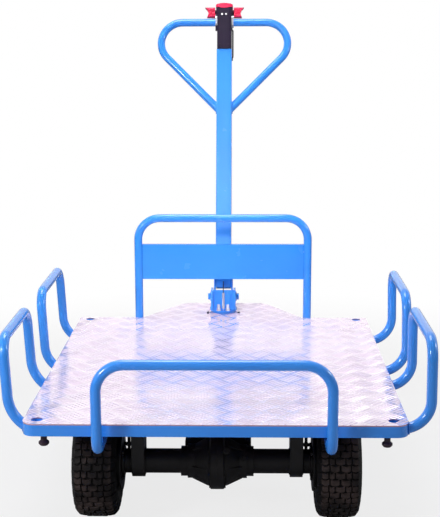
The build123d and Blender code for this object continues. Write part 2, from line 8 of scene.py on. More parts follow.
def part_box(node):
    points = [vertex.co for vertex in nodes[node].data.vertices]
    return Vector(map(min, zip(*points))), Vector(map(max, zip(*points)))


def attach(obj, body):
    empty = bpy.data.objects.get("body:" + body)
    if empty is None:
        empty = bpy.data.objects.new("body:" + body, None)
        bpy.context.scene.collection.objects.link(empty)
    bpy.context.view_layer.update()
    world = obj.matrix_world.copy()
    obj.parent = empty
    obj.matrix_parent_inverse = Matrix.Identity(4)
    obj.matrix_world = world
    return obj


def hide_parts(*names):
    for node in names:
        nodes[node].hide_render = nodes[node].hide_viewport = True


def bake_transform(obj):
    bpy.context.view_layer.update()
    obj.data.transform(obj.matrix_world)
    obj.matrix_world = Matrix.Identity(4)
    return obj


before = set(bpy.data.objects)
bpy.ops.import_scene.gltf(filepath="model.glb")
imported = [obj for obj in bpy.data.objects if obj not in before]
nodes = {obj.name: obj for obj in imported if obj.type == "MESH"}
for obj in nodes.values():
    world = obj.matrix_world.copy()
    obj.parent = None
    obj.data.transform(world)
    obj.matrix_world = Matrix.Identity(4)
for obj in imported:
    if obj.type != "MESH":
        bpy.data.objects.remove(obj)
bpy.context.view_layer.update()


# Floor of the studio
# A wide pale floor of painted board, flat under the wheels, with all lengths in metres.
# It keeps the truck's soft shadow, and fades to white far off.

class Wire:
    """One value in a material: plain sums with it add the nodes that work them out."""

    def __init__(self, finish, socket):
        self.finish = finish
        self.socket = socket

    def math(self, operation, *others):
        values = dict(enumerate((self, *others)))
        return self.finish.node("Math", {"operation": operation}, values)

    def __add__(self, other):
        return self.math("ADD", other)

    def __sub__(self, other):
        return self.math("SUBTRACT", other)

    def __rsub__(self, other):
        return self.finish.node("Math", {"operation": "SUBTRACT"}, {0: other, 1: self})

    def __mul__(self, other):
        return self.math("MULTIPLY", other)

    __radd__ = __add__
    __rmul__ = __mul__

    def step(self, low, high):
        """0 below low, 1 above high, and a smooth change between them."""
        return self.finish.node("MapRange", {"interpolation_type": "SMOOTHSTEP"},
                                {"Value": self, "From Min": low, "From Max": high})


class Finish:
    """A material: one surface shader and the nodes that vary it."""

    def __init__(self, name, **constants):
        self.material = bpy.data.materials.new(name)
        self.material.use_nodes = True
        self.tree = self.material.node_tree
        self.shader = self.tree.nodes["Principled BSDF"]
        self.surface(**constants)

    def feed(self, node, values):
        for title, value in values.items():
            socket = node.inputs[title]
            if isinstance(value, Wire):
                self.tree.links.new(value.socket, socket)
            else:
                socket.default_value = value

    def node(self, kind, settings, values, output=0):
        """Any node: its type, its settings, the values of its sockets, and which output is wanted."""
        made = self.tree.nodes.new("ShaderNode" + kind)
        for title, value in settings.items():
            setattr(made, title, value)
        self.feed(made, values)
        return Wire(self, made.outputs[output])

    def place(self):
        """Where a point is on the piece, in metres."""
        return self.node("TexCoord", {}, {}, "Object")

    def height(self):
        """Height above the floor."""
        return self.node("SeparateXYZ", {}, {0: self.place()}, "Z")

    def noise(self, scale, detail=3.0, roughness=0.5, at=None):
        return self.node("TexNoise", {}, {"Vector": at or self.place(), "Scale": scale, "Detail": detail,
                                          "Roughness": roughness})

    def mix(self, share, first, second):
        """Colour between two others."""
        return self.node("Mix", {"data_type": "RGBA"}, {0: share, 6: first, 7: second}, 2)

    def bump(self, height, distance, strength=1.0, normal=None):
        values = {"Height": height, "Distance": distance, "Strength": strength}
        if normal:
            values["Normal"] = normal
        return self.node("Bump", {}, values)

    def soft_edges(self, radius):
        """Normal that rounds off sharp edges."""
        return self.node("Bevel", {"samples": 4}, {"Radius": radius})

    def surface(self, **values):
        """Feeds the surface shader."""
        self.feed(self.shader, {title.replace("_", " "): value for title, value in values.items()})


def colour(red, green, blue):
    """Linear colour of a paint that reads as these three screen values, from 0 to 255."""
    def linear(value):
        share = value / 255
        return share / 12.92 if share <= 0.04045 else ((share + 0.055) / 1.055) ** 2.4
    return linear(red), linear(green), linear(blue), 1.0


def circle(radius, height, count, start=0.0):
    """Points round Z at a height."""
    angles = [start + 2 * pi * k / count for k in range(count)]
    return [Vector((radius * cos(angle), radius * sin(angle), height)) for angle in angles]


class Shape:
    """Points and faces of one piece, gathered form by form and then made into a mesh."""

    def __init__(self):
        self.points = []
        self.faces = []

    def add(self, points, faces, place=Matrix()):
        start = len(self.points)
        self.points += [place @ Vector(point) for point in points]
        self.faces += [[start + corner for corner in face] for face in faces]

    def skin(self, loops, place=Matrix(), ring=False):
        """Skin over loops of points, closed at both ends or joined round in a ring."""
        count = len(loops[0])
        points = [point for loop in loops for point in loop]
        faces = []
        for row in range(len(loops) if ring else len(loops) - 1):
            here, there = row * count, (row + 1) % len(loops) * count
            for k in range(count):
                after = (k + 1) % count
                faces.append((here + k, here + after, there + after, there + k))
        if not ring:
            faces.append(tuple(reversed(range(count))))
            faces.append(tuple(range(len(points) - count, len(points))))
        self.add(points, faces, place)

    def lathe(self, profile, place=Matrix(), turns=48, ring=False):
        """Turned form about Z, from pairs of radius and height."""
        self.skin([circle(radius, height, turns) for radius, height in profile], place, ring)

    def block(self, low, high, place=Matrix(), bevel=0.001):
        """Bar between two corners, its upright edges and both its ends bevelled."""
        loops = []
        for z, inset in ((low[2], bevel), (low[2] + bevel, 0.0), (high[2] - bevel, 0.0), (high[2], bevel)):
            x0, y0, x1, y1 = low[0] + inset, low[1] + inset, high[0] - inset, high[1] - inset
            loops.append([(x0 + bevel, y0, z), (x1 - bevel, y0, z), (x1, y0 + bevel, z),
                          (x1, y1 - bevel, z), (x1 - bevel, y1, z), (x0 + bevel, y1, z),
                          (x0, y1 - bevel, z), (x0, y0 + bevel, z)])
        self.skin(loops, place)

    def pipe(self, points, widths, sides=8, place=Matrix(), ring=False):
        """Round bar along a line of points, with its width at each of them."""
        count = len(points)
        side = None
        loops = []
        for k, (point, width) in enumerate(zip(points, widths)):
            before = points[k - 1] if ring or k else point
            after = points[(k + 1) % count] if ring or k < count - 1 else point
            run = (after - before).normalized()
            side = (side - run * side.dot(run) if side else run.orthogonal()).normalized()
            other = run.cross(side)
            loops.append([point + side * step.x + other * step.y for step in circle(width / 2, 0, sides)])
        self.skin(loops, place, ring)

    def make(self, name, finish, body=None, sharp=40):
        mesh = bpy.data.meshes.new(name)
        mesh.from_pydata(self.points, [], self.faces)
        work = bmesh.new()
        work.from_mesh(mesh)
        bmesh.ops.recalc_face_normals(work, faces=work.faces)
        for face in work.faces:
            face.smooth = True
        work.to_mesh(mesh)
        work.free()
        mesh.set_sharp_from_angle(angle=radians(sharp))
        mesh.materials.append(finish.material)
        piece = bpy.data.objects.new(name, mesh)
        bpy.context.scene.collection.objects.link(piece)
        if body:
            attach(piece, body)
        return piece


FLOOR_REACH = 14.0
FADE_NEAR, FADE_FAR = 0.9, 2.2
FLOOR_GLOW = 0.8
floor_finish = Finish("studio_floor", Base_Color=colour(186, 186, 189))
floor_finish.surface(Roughness=floor_finish.noise(9.0) * 0.1 + 0.8)
away = floor_finish.node("VectorMath", {"operation": "LENGTH"}, {0: floor_finish.place()}, "Value")
seen = floor_finish.node("LightPath", {}, {}, "Is Camera Ray")
glow = floor_finish.node("Emission", {}, {"Color": (1.0, 1.0, 1.0, 1.0), "Strength": 1.0})
painted = Wire(floor_finish, floor_finish.shader.outputs[0])
share = (away.step(FADE_NEAR, FADE_FAR) * (1 - FLOOR_GLOW) + FLOOR_GLOW) * seen
blended = floor_finish.node("MixShader", {}, {0: share, 1: painted, 2: glow})
output = floor_finish.tree.nodes["Material Output"]
floor_finish.tree.links.new(blended.socket, output.inputs["Surface"])
ground = Shape()
ground.add([(-FLOOR_REACH, -FLOOR_REACH, 0), (FLOOR_REACH, -FLOOR_REACH, 0),
            (FLOOR_REACH, FLOOR_REACH, 0), (-FLOOR_REACH, FLOOR_REACH, 0)], [(0, 1, 2, 3)])
ground.make("studio_floor", floor_finish)


# Studio light
# A white backdrop beyond the truck, which the metal mirrors, and a dimmer room on the camera's side.
# Square lamps stand overhead, at the left, in front and at the right.

WORLD_LIGHT = 0.24
ROOM_GLOSS = 0.35
BACKDROP_START, BACKDROP_FULL = -0.15, 0.35
world = bpy.data.worlds.new("studio")
bpy.context.scene.world = world
world.use_nodes = True
sky = world.node_tree
rays = sky.nodes.new("ShaderNodeLightPath")
directions = sky.nodes.new("ShaderNodeTexCoord")
apart = sky.nodes.new("ShaderNodeSeparateXYZ")
sky.links.new(directions.outputs["Generated"], apart.inputs[0])
backdrop = sky.nodes.new("ShaderNodeMapRange")
backdrop.interpolation_type = "SMOOTHSTEP"
backdrop.inputs["From Min"].default_value = BACKDROP_START
backdrop.inputs["From Max"].default_value = BACKDROP_FULL
backdrop.inputs["To Min"].default_value = ROOM_GLOSS
sky.links.new(apart.outputs["Y"], backdrop.inputs["Value"])
mirrored = sky.nodes.new("ShaderNodeMix")
mirrored.inputs[2].default_value = WORLD_LIGHT
sky.links.new(rays.outputs["Is Glossy Ray"], mirrored.inputs[0])
sky.links.new(backdrop.outputs[0], mirrored.inputs[3])
shown = sky.nodes.new("ShaderNodeMix")
shown.inputs[3].default_value = 1.0
sky.links.new(rays.outputs["Is Camera Ray"], shown.inputs[0])
sky.links.new(mirrored.outputs[0], shown.inputs[2])
background = sky.nodes["Background"]
background.inputs["Color"].default_value = (1.0, 1.0, 1.0, 1.0)
sky.links.new(shown.outputs[0], background.inputs["Strength"])

LAMPS = (  # name, place, point that it faces, side, watts, spread in degrees
    ("overhead", (-0.3, 0.2, 3.0), (0.0, 0.1, 0.4), 1.3, 40, 180),
    ("left", (-1.8, -1.9, 1.3), (-0.2, 0.0, 0.45), 0.45, 28, 180),
    ("front", (-0.6, -3.2, 2.6), (0.0, 0.4, 0.72), 0.7, 3.2, 29),
    ("right", (2.5, -0.5, 1.6), (0.0, 0.0, 0.5), 0.6, 16, 180),
)
for name, place, target, side, watts, spread in LAMPS:
    lamp = bpy.data.lights.new(name, "AREA")
    lamp.size = side
    lamp.energy = watts
    lamp.spread = radians(spread)
    holder = bpy.data.objects.new(name, lamp)
    holder.location = place
    holder.rotation_euler = (Vector(target) - Vector(place)).to_track_quat("-Z", "Y").to_euler()
    holder.visible_glossy = name != "front"
    bpy.context.scene.collection.objects.link(holder)
bpy.context.scene.view_settings.view_transform = "Standard"


# Camera
# It stands behind the truck, a little right of its middle, and looks slightly down on the deck.
# Its long lens gives the photograph's picture, with no shift and no blur.

deck_low, deck_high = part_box("deck_plate")
DECK_MIDDLE = (deck_low.x + deck_high.x) / 2
REAR_EDGE = deck_low.y
DECK_TOP = deck_high.z


def at(x, along, z):
    """Point on the truck: across from the deck's middle, along from its rear edge, up from the floor."""
    return Vector((DECK_MIDDLE + x, REAR_EDGE + along, z))


CAMERA_RIGHT, CAMERA_BEHIND, CAMERA_ABOVE = 0.0704, 2.5222, 0.8989
YAW, PITCH, ROLL = radians(1.29), radians(11.37), radians(0.17)
LENS = 80.04
camera = bpy.data.objects.new("camera", bpy.data.cameras.new("camera"))
camera.data.lens = LENS
camera.matrix_world = (Matrix.Translation(at(CAMERA_RIGHT, -CAMERA_BEHIND, DECK_TOP + CAMERA_ABOVE))
                       @ Matrix.Rotation(YAW, 4, "Z") @ Matrix.Rotation(pi / 2 - PITCH, 4, "X")
                       @ Matrix.Rotation(-ROLL, 4, "Z"))
bpy.context.scene.collection.objects.link(camera)
bpy.context.scene.camera = camera


# Frame
# Rails, bearers and cross members of folded steel, welded up and powder coated in glossy blue.
# Short weld beads join the bearers and cross members to the rails, below the deck.

def powder_coat(name, base, shade):
    """Glossy stoved powder: faint orange peel, slightly deeper in places, dust in the roughness."""
    finish = Finish(name, Coat_Weight=0.7, Coat_Roughness=0.05, Specular_IOR_Level=0.35)
    cloud = finish.noise(7.0, 2.0)
    peel = finish.noise(420.0, 2.0)
    finish.surface(Base_Color=finish.mix(cloud.step(0.3, 0.7), base, shade),
                   Roughness=finish.noise(26.0, 4.0) * 0.05 + 0.24,
                   Normal=finish.bump(peel, 0.0003, 0.3, finish.soft_edges(0.0016)))
    return finish


blue_paint = powder_coat("blue_paint", colour(53, 146, 246), colour(48, 140, 242))


def coat(finish, *names):
    """Gives CAD nodes a finish."""
    for name in names:
        nodes[name].data.materials.clear()
        nodes[name].data.materials.append(finish.material)


BEAD_STEP = 0.0012
DROP_LENGTH = 0.0036


def line(start, end):
    """Points along a straight seam."""
    count = max(3, round((end - start).length / BEAD_STEP))
    return [start.lerp(end, k / count) for k in range(count + 1)]


def facing(point, direction):
    """Placement at a point, with its Z towards a direction."""
    return Matrix.Translation(point) @ Vector(direction).to_track_quat("Z", "Y").to_matrix().to_4x4()


def around(centre, axis, radius, stretch=1.0):
    """Points along a seam round a tube."""
    place = facing(centre, axis)
    count = round(2 * pi * radius * stretch / BEAD_STEP)
    return [place @ Vector((step.x, step.y * stretch, 0)) for step in circle(radius, 0, count)]


def weld(shape, points, width=0.006, ring=False):
    """Weld bead along a seam, laid down as a row of overlapping drops."""
    widths = []
    for k in range(len(points)):
        drop = k * BEAD_STEP / DROP_LENGTH % 1
        end = 1.0 if ring else min(1.0, 0.5 + 0.15 * min(k, len(points) - 1 - k))
        widths.append(width * (0.8 + 0.2 * sqrt(drop)) * end)
    shape.pipe(points, widths, 7, ring=ring)


coat(blue_paint, "rear_rail", "front_rail", "side_rail_left", "side_rail_right", "bearers",
     "cross_members", "nose_rail", "steering_head")
FRAME_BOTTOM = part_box("bearers")[0].z
SEAM_LOW, SEAM_HIGH = FRAME_BOTTOM + 0.001, DECK_TOP - 0.004
BEARER_SIDES = (0.184, 0.216)
CROSS_EDGES = (0.150, 0.180, 0.470, 0.500, 0.740, 0.770)
RAIL_FACES = (0.0405, 0.9595)
RAIL_INSIDE = 0.4095
CORNER_SEAMS, CORNER_OUTSIDE, CORNER_INSIDE = (0.0402, 0.9598), 0.4485, 0.412
NOSE_START, NOSE_INSIDE, NOSE_OUTSIDE = 1.0005, 0.228, 0.246


def upright_seam(shape, x, along, width=0.006):
    """Weld up the height of the frame."""
    weld(shape, line(at(x, along, SEAM_LOW), at(x, along, SEAM_HIGH)), width)


def level_seam(shape, x0, along0, x1, along1, z, width=0.006):
    """Weld between two places at one height."""
    weld(shape, line(at(x0, along0, z), at(x1, along1, z)), width)


seams = Shape()
for side in (-1, 1):
    for x in BEARER_SIDES:
        for along in RAIL_FACES:
            upright_seam(seams, side * x, along)
        for along in CROSS_EDGES:
            upright_seam(seams, side * x, along, 0.005)
    for along in CROSS_EDGES:
        upright_seam(seams, side * RAIL_INSIDE, along)
    for along in CORNER_SEAMS:
        level_seam(seams, side * CORNER_OUTSIDE, along, side * CORNER_INSIDE, along, FRAME_BOTTOM)
    level_seam(seams, side * NOSE_INSIDE, NOSE_START, side * NOSE_OUTSIDE, NOSE_START, FRAME_BOTTOM)
seams.make("frame_welds", blue_paint, "chassis")


# Deck plate
# One sheet of bright aluminium five-bar tread plate, laid on the frame with its nose under the tiller.
# The bars stand in square groups set cornerwise, every other group turned across.

def rolled_metal(name, metallic, base, shade, edge, roughness):
    """Rolled aluminium: fine lines along the sheet, cloudy stains, and a duller colour on faces that don't
    face up, which are the sheet's cut edges, and on the raised bars their flanks, where it is painted shade.
    """
    finish = Finish(name, Metallic=metallic, Specular_IOR_Level=0.5)
    grain = finish.node("Mapping", {}, {"Vector": finish.place(), "Scale": (70.0, 3.0, 70.0)})
    rolled = finish.noise(3.0, 5.0, 0.6, grain)
    stain = finish.noise(5.0, 4.0)
    faces_up = finish.node("SeparateXYZ", {}, {0: finish.node("NewGeometry", {}, {}, "Normal")}, "Z")
    top = finish.mix(stain.step(0.35, 0.7), base, shade)
    finish.surface(
        Base_Color=finish.mix(faces_up.step(0.1, 0.4), edge, top),
        Roughness=stain * 0.06 + rolled * 0.03 + roughness,
        Normal=finish.bump(rolled, 0.0001, 0.08))
    return finish


CUT_EDGE = colour(206, 168, 186)
deck_metal = rolled_metal("tread_plate", 0.66, colour(254, 243, 254), colour(248, 235, 248), CUT_EDGE, 0.085)
# Painted shade on the raised bars' flanks, which take this darker colour than the bars' tops.
BAR_FLANK_PAINTED_SHADE = colour(212, 188, 214)
# Painted reflection: the raised bars are tinted darker and pinker than the sheet, for the darker
# surroundings they mirror.
bar_metal_painted_shade = rolled_metal("raised_bars_painted_shade", 0.4, colour(240, 224, 241), colour(231, 212, 233), BAR_FLANK_PAINTED_SHADE, 0.2)
coat(deck_metal, "deck_plate")

CELL = 0.075
BARS = 5
BAR_PITCH = CELL / sqrt(2) / BARS
BAR_LENGTH = 0.0465
BAR_WIDTH = 0.0056
BAR_HEIGHT = 0.0014
BAR_PROFILE = ((-1, -0.15), (-0.62, 0.72), (0, 1), (0.62, 0.72), (1, -0.15))  # across, up
SHORTEST_BAR = 5
LATTICE_START = 0.02
EDGE_MARGIN = 0.0012
DECK_HALF = deck_high.x - DECK_MIDDLE
DECK_LENGTH = 1.0
NOSE_LENGTH = deck_high.y - REAR_EDGE - DECK_LENGTH
NOSE_BASE, NOSE_TIP = 0.25, 0.135
NOSE_CUT, NOSE_CUT_START = 0.05, 0.75
CORNER = 0.03
SOCKET_X, SOCKET_REAR, SOCKET_FRONT, SOCKET_EDGE = 0.417, 0.033, 0.978, 0.0145
pin_low, pin_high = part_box("king_pin")
STEER = (pin_low.y + pin_high.y) / 2 - REAR_EDGE
COLLAR_EDGE = 0.046


def on_deck(x, along):
    """Whether a point lies on the sheet, clear of its edges and holes."""
    edge = DECK_HALF - EDGE_MARGIN
    if along > DECK_LENGTH - EDGE_MARGIN:
        share = (along - DECK_LENGTH) / NOSE_LENGTH
        edge = NOSE_BASE + (NOSE_TIP - NOSE_BASE) * share - 2 * EDGE_MARGIN
        edge -= NOSE_CUT * max(0.0, share - NOSE_CUT_START)
    if abs(x) > edge or not EDGE_MARGIN < along < DECK_LENGTH + NOSE_LENGTH - EDGE_MARGIN:
        return False
    corner = abs(x) - (DECK_HALF - CORNER), CORNER - along
    if min(corner) > 0 and corner[0] ** 2 + corner[1] ** 2 > (CORNER - EDGE_MARGIN) ** 2:
        return False
    for hole in (SOCKET_REAR, SOCKET_FRONT):
        if (abs(x) - SOCKET_X) ** 2 + (along - hole) ** 2 < SOCKET_EDGE ** 2:
            return False
    return x ** 2 + (along - STEER) ** 2 > COLLAR_EDGE ** 2


def tread_bar(shape, x, along, heading):
    """One raised bar, a low ridge that thins to both ends, cut short where the sheet ends."""
    run = Vector((cos(heading), sin(heading), 0))
    across = Vector((-sin(heading), cos(heading), 0))
    steps = [k / 8 - 1 for k in range(17)]
    reach = BAR_LENGTH / 2
    inside = [step for step in steps if on_deck(x + run.x * step * reach, along + run.y * step * reach)]
    if len(inside) < SHORTEST_BAR:
        return
    loops = []
    for k in range(7):
        step = min(inside) + (max(inside) - min(inside)) * k / 6
        full = sqrt(max(0.0, 1 - step * step * 0.96))
        centre = at(x, along, DECK_TOP) + run * step * reach
        half = BAR_WIDTH / 2 * (0.25 + 0.75 * full)
        loops.append([centre + across * half * side + Vector((0, 0, BAR_HEIGHT * full * lift))
                      for side, lift in BAR_PROFILE])
    shape.skin(loops)


treads = Shape()
for column in range(-13, 14):
    for row in range(-1, 34):
        if (column + row) % 2:
            continue
        heading = radians(45 if column % 2 == 0 else 135)
        for k in range(BARS):
            offset = (k - (BARS - 1) / 2) * BAR_PITCH
            tread_bar(treads, column * CELL / 2 - sin(heading) * offset,
                      row * CELL / 2 + LATTICE_START + cos(heading) * offset, heading)
treads.make("deck_tread_bars", bar_metal_painted_shade, "chassis")


# Stake sockets and lashing knobs
# Short pipes, open through the deck at its corners and welded into the rails.
# Turned knobs hang under them, each a blue cone, a thin bright stem and a black rubber head.

coat(blue_paint, "stake_sockets")
knob_rubber = Finish("knob_rubber", Specular_IOR_Level=0.4)
RUBBER_TOP, CONE_FOOT = FRAME_BOTTOM - 0.0096, FRAME_BOTTOM - 0.0045
height = knob_rubber.height()
on_stem = height.step(RUBBER_TOP, RUBBER_TOP + 0.0002)
on_cone = height.step(CONE_FOOT, CONE_FOOT + 0.0005)
rubber_colour = knob_rubber.mix(knob_rubber.noise(60.0), colour(40, 24, 34), colour(58, 36, 48))
stem_colour = knob_rubber.mix(on_cone, colour(178, 150, 160), colour(46, 120, 225))
knob_rubber.surface(Base_Color=knob_rubber.mix(on_stem, rubber_colour, stem_colour),
                    Metallic=on_stem - on_cone,
                    Roughness=knob_rubber.noise(90.0) * 0.15 + 0.34,
                    Normal=knob_rubber.bump(knob_rubber.noise(600.0), 0.0002, 0.3,
                                            knob_rubber.soft_edges(0.001)))
coat(knob_rubber, "corner_knobs")
SOCKET_SEAM = 0.0165
seams = Shape()
for side in (-1, 1):
    for along in (SOCKET_REAR, SOCKET_FRONT):
        weld(seams, around(at(side * SOCKET_X, along, FRAME_BOTTOM), (0, 0, 1), SOCKET_SEAM), 0.004, True)
seams.make("socket_welds", blue_paint, "chassis")


# Bars and hoops
# Bent round tube, 25 mm across: push bar, four side hoops and the headboard with its folded plate.
# Each leg is welded to the frame, and the push bar stands on packers under the rear rail.

coat(blue_paint, "rear_bar", "headboard_hoop", "headboard_plate", "side_hoop_rear_left",
     "side_hoop_front_left", "side_hoop_rear_right", "side_hoop_front_right")
TUBE = 0.025
TUBE_SEAM = TUBE / 2 + 0.0008
FRAME_MIDDLE = FRAME_BOTTOM + 0.0135
HOOP_FACE = 0.4508
HOOP_FEET = (  # side, along, slope of the foot in degrees
    (-1, 0.043, 43), (-1, 0.345, 43), (-1, 0.516, 43), (-1, 0.840, 43),
    (1, 0.032, 11.5), (1, 0.352, 11.5), (1, 0.482, 11), (1, 0.795, 11))
seams = Shape()
for side, along, slope in HOOP_FEET:
    seam = around(at(side * HOOP_FACE, along, FRAME_MIDDLE), (side, 0, 0), TUBE_SEAM)
    for point in seam:
        rise = (point.z - FRAME_MIDDLE) / cos(radians(slope))
        point.z = min(max(FRAME_MIDDLE + rise, SEAM_LOW), SEAM_HIGH)
    weld(seams, seam, 0.005, True)

HEADBOARD_X, HEADBOARD_ALONG = 0.265, 1.0125
HEADBOARD_FOOT, FOOT_HALF = 1.0012, 0.0065
TACK, TACK_MARGIN = 0.028, 0.004
PACKER_X, PACKER_HALF, PACKER_DEPTH = 0.269, 0.009, 0.015
PACKER_START, PACKER_END = 0.005, 0.039
plate_low, plate_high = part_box("headboard_plate")
tacks = (plate_low.z + TACK_MARGIN, (plate_low.z + plate_high.z) / 2 - TACK / 2,
         plate_high.z - TACK_MARGIN - TACK)
for side in (-1, 1):
    for offset in (-FOOT_HALF, FOOT_HALF):
        upright_seam(seams, side * HEADBOARD_X + offset, HEADBOARD_FOOT, 0.005)
    x, along = side * (HEADBOARD_X - TUBE / 2), HEADBOARD_ALONG + 0.0025
    for start in tacks:
        weld(seams, line(at(x, along, start), at(x, along, start + TACK)), 0.0045)
    for x in (side * PACKER_X - PACKER_HALF, side * PACKER_X + PACKER_HALF):
        for z in (FRAME_BOTTOM, FRAME_BOTTOM - PACKER_DEPTH):
            level_seam(seams, x, PACKER_START, x, PACKER_END, z, 0.005)
    level_seam(seams, side * PACKER_X - 0.008, 0.004, side * PACKER_X + 0.008, 0.004, FRAME_BOTTOM, 0.005)
seams.make("hoop_welds", blue_paint, "chassis")


# Drive axle
# Two cast halves bolted together at a flange, each with its bell, ribs and long tube, painted black.
# Sheet hangers are welded round the tubes and under the bearers, and hold the axle up.

black_paint = Finish("black_paint", Specular_IOR_Level=0.4)
black_paint.surface(Base_Color=black_paint.mix(black_paint.noise(12.0), colour(7, 6, 7), colour(16, 13, 15)),
                    Roughness=black_paint.noise(30.0) * 0.2 + 0.32,
                    Normal=black_paint.bump(black_paint.noise(260.0, 4.0), 0.0004, 0.4,
                                            black_paint.soft_edges(0.0014)))
cast_iron = Finish("painted_casting", Specular_IOR_Level=0.35)
skin_grain = cast_iron.noise(420.0, 5.0, 0.65)
cast_iron.surface(Base_Color=cast_iron.mix(cast_iron.noise(22.0, 4.0), colour(7, 6, 7), colour(18, 14, 16)),
                  Roughness=skin_grain * 0.25 + 0.38,
                  Normal=cast_iron.bump(skin_grain, 0.0007, 0.55, cast_iron.soft_edges(0.0022)))
coat(cast_iron, "axle_case_left", "axle_case_right", "reduction_case")
coat(black_paint, "axle_hangers", "brake_plates", "brake_rods")


def hex_bolt(shape, place, across, height, washer=True):
    """Hexagon head on its washer, with a chamfered top."""
    base = 0.0012 if washer else 0.0
    if washer:
        shape.lathe([(across * 0.72, 0.0), (across * 0.72, 0.0009), (across * 0.69, base)], place, 24)
    radius = across / sqrt(3)
    shape.skin([circle(radius, base - 0.0004, 6), circle(radius, height - across * 0.06, 6),
                circle(radius * 0.88, height, 6)], place)


def turned(place, k, count, start=0.0):
    """Placement turned about its Z to one of several even places round it."""
    return place @ Matrix.Rotation(2 * pi * (k + start) / count, 4, "Z")


REAR_AXLE = 0.250
AXLE_HEIGHT = 0.140
FLANGE_BOLTS, FLANGE_CIRCLE, FLANGE_FACE = 12, 0.0645, 0.0165
RIBS = 6
RIB_FOOT = [(0.052, -0.003, 0.022), (0.052, 0.003, 0.022), (0.036, 0.003, 0.070), (0.036, -0.003, 0.070)]
RIB_TOP = [(0.0625, -0.002, 0.0235), (0.0625, 0.002, 0.0235), (0.0445, 0.0015, 0.062),
           (0.0445, -0.0015, 0.062)]
CASE_PLUGS = (  # place, direction, width over flats, height
    ((0.024, 0.190, 0.190), (0.05, -0.85, 0.5), 0.014, 0.009),
    ((0.064, 0.203, 0.166), (0.5, -0.8, 0.35), 0.010, 0.007))
COVER_FACE = 0.3215
COVER_BOLTS = (  # across, up
    (-0.074, 0.098), (0.074, 0.098), (-0.074, 0.152), (0.074, 0.152), (-0.058, 0.226), (0.058, 0.226))
castings = Shape()
for side in (-1, 1):
    place = facing(at(0, REAR_AXLE, AXLE_HEIGHT), (side, 0, 0))
    for k in range(FLANGE_BOLTS):
        spot = turned(place, k, FLANGE_BOLTS, 0.5) @ Matrix.Translation((FLANGE_CIRCLE, 0, FLANGE_FACE))
        hex_bolt(castings, spot, 0.0075, 0.0045)
    for k in range(RIBS):
        castings.skin([RIB_FOOT, RIB_TOP], turned(place, k, RIBS))
for spot, direction, across, rise in CASE_PLUGS:
    hex_bolt(castings, facing(at(*spot), direction), across, rise)
for x, z in COVER_BOLTS:
    hex_bolt(castings, facing(at(x, COVER_FACE, z), (0, -1, 0)), 0.011, 0.0075)
castings.make("axle_castings", cast_iron, "chassis")

AXLE_SEAM, HANGER_REACH = 0.0315, 0.043
PLATE_FACE, PLATE_BOLTS, PLATE_CIRCLE = 0.2405, 4, 0.046
PLATE_BOSS = [(0.0315, -0.001), (0.040, 0.0), (0.040, 0.005), (0.0315, 0.0065)]
HANGER_BOLT, CLAMP_TOP = 0.225, 0.182
seams = Shape()
for side in (-1, 1):
    for x in BEARER_SIDES:
        weld(seams, around(at(side * x, REAR_AXLE, AXLE_HEIGHT), (1, 0, 0), AXLE_SEAM), 0.006, True)
        level_seam(seams, side * x, REAR_AXLE - HANGER_REACH, side * x, REAR_AXLE + HANGER_REACH,
                   FRAME_BOTTOM)
    place = facing(at(side * PLATE_FACE, REAR_AXLE, AXLE_HEIGHT), (-side, 0, 0))
    for k in range(PLATE_BOLTS):
        spot = turned(place, k, PLATE_BOLTS, 0.5) @ Matrix.Translation((PLATE_CIRCLE, 0, 0))
        hex_bolt(seams, spot, 0.010, 0.006)
    seams.lathe(PLATE_BOSS, place, 40, ring=True)
    hex_bolt(seams, facing(at(side * HANGER_BOLT, REAR_AXLE, SEAM_LOW), (0, 0, -1)), 0.013, 0.006)
    hex_bolt(seams, facing(at(side * HANGER_BOLT, REAR_AXLE, CLAMP_TOP), (0, 0, 1)), 0.013, 0.007)
seams.make("axle_welds_and_bolts", black_paint, "chassis")


# Drive motor
# Direct current motor in a drawn steel can, flanged to the reduction case.
# Bands grip the can, and its far end has screws, brush covers and a turned cap for the bearing.

coat(black_paint, "drive_motor")
MOTOR_START, MOTOR_END, MOTOR_HEIGHT = 0.355, 0.491, 0.190
BANDS = ((0.002, 0.010), (0.088, 0.096))
END_SCREWS, SCREW_CIRCLE = 4, 0.046
BEARING_CAP = [(0.020, 0.134), (0.020, 0.1395), (0.0165, 0.1425), (0.002, 0.1435)]
fittings = Shape()
place = facing(at(0, MOTOR_START, MOTOR_HEIGHT), (0, 1, 0))
for low, high in BANDS:
    fittings.lathe([(0.0675, low), (0.0695, low + 0.001), (0.0695, high - 0.001), (0.0675, high)],
                   place, 72, ring=True)
for k in range(END_SCREWS):
    spot = turned(place, k, END_SCREWS, 0.5)
    hex_bolt(fittings, spot @ Matrix.Translation((SCREW_CIRCLE, 0, MOTOR_END - MOTOR_START)), 0.010, 0.0065)
    fittings.block((0.0625, -0.009, 0.106), (0.0655, 0.009, 0.124), spot)
fittings.lathe(BEARING_CAP, place, 40)
fittings.make("motor_fittings", black_paint, "chassis")


# Controller
# Switching unit in a ribbed cast case under the right bearer, with screws in its front and back.
# Two cable glands stand out of its side, towards the motor.

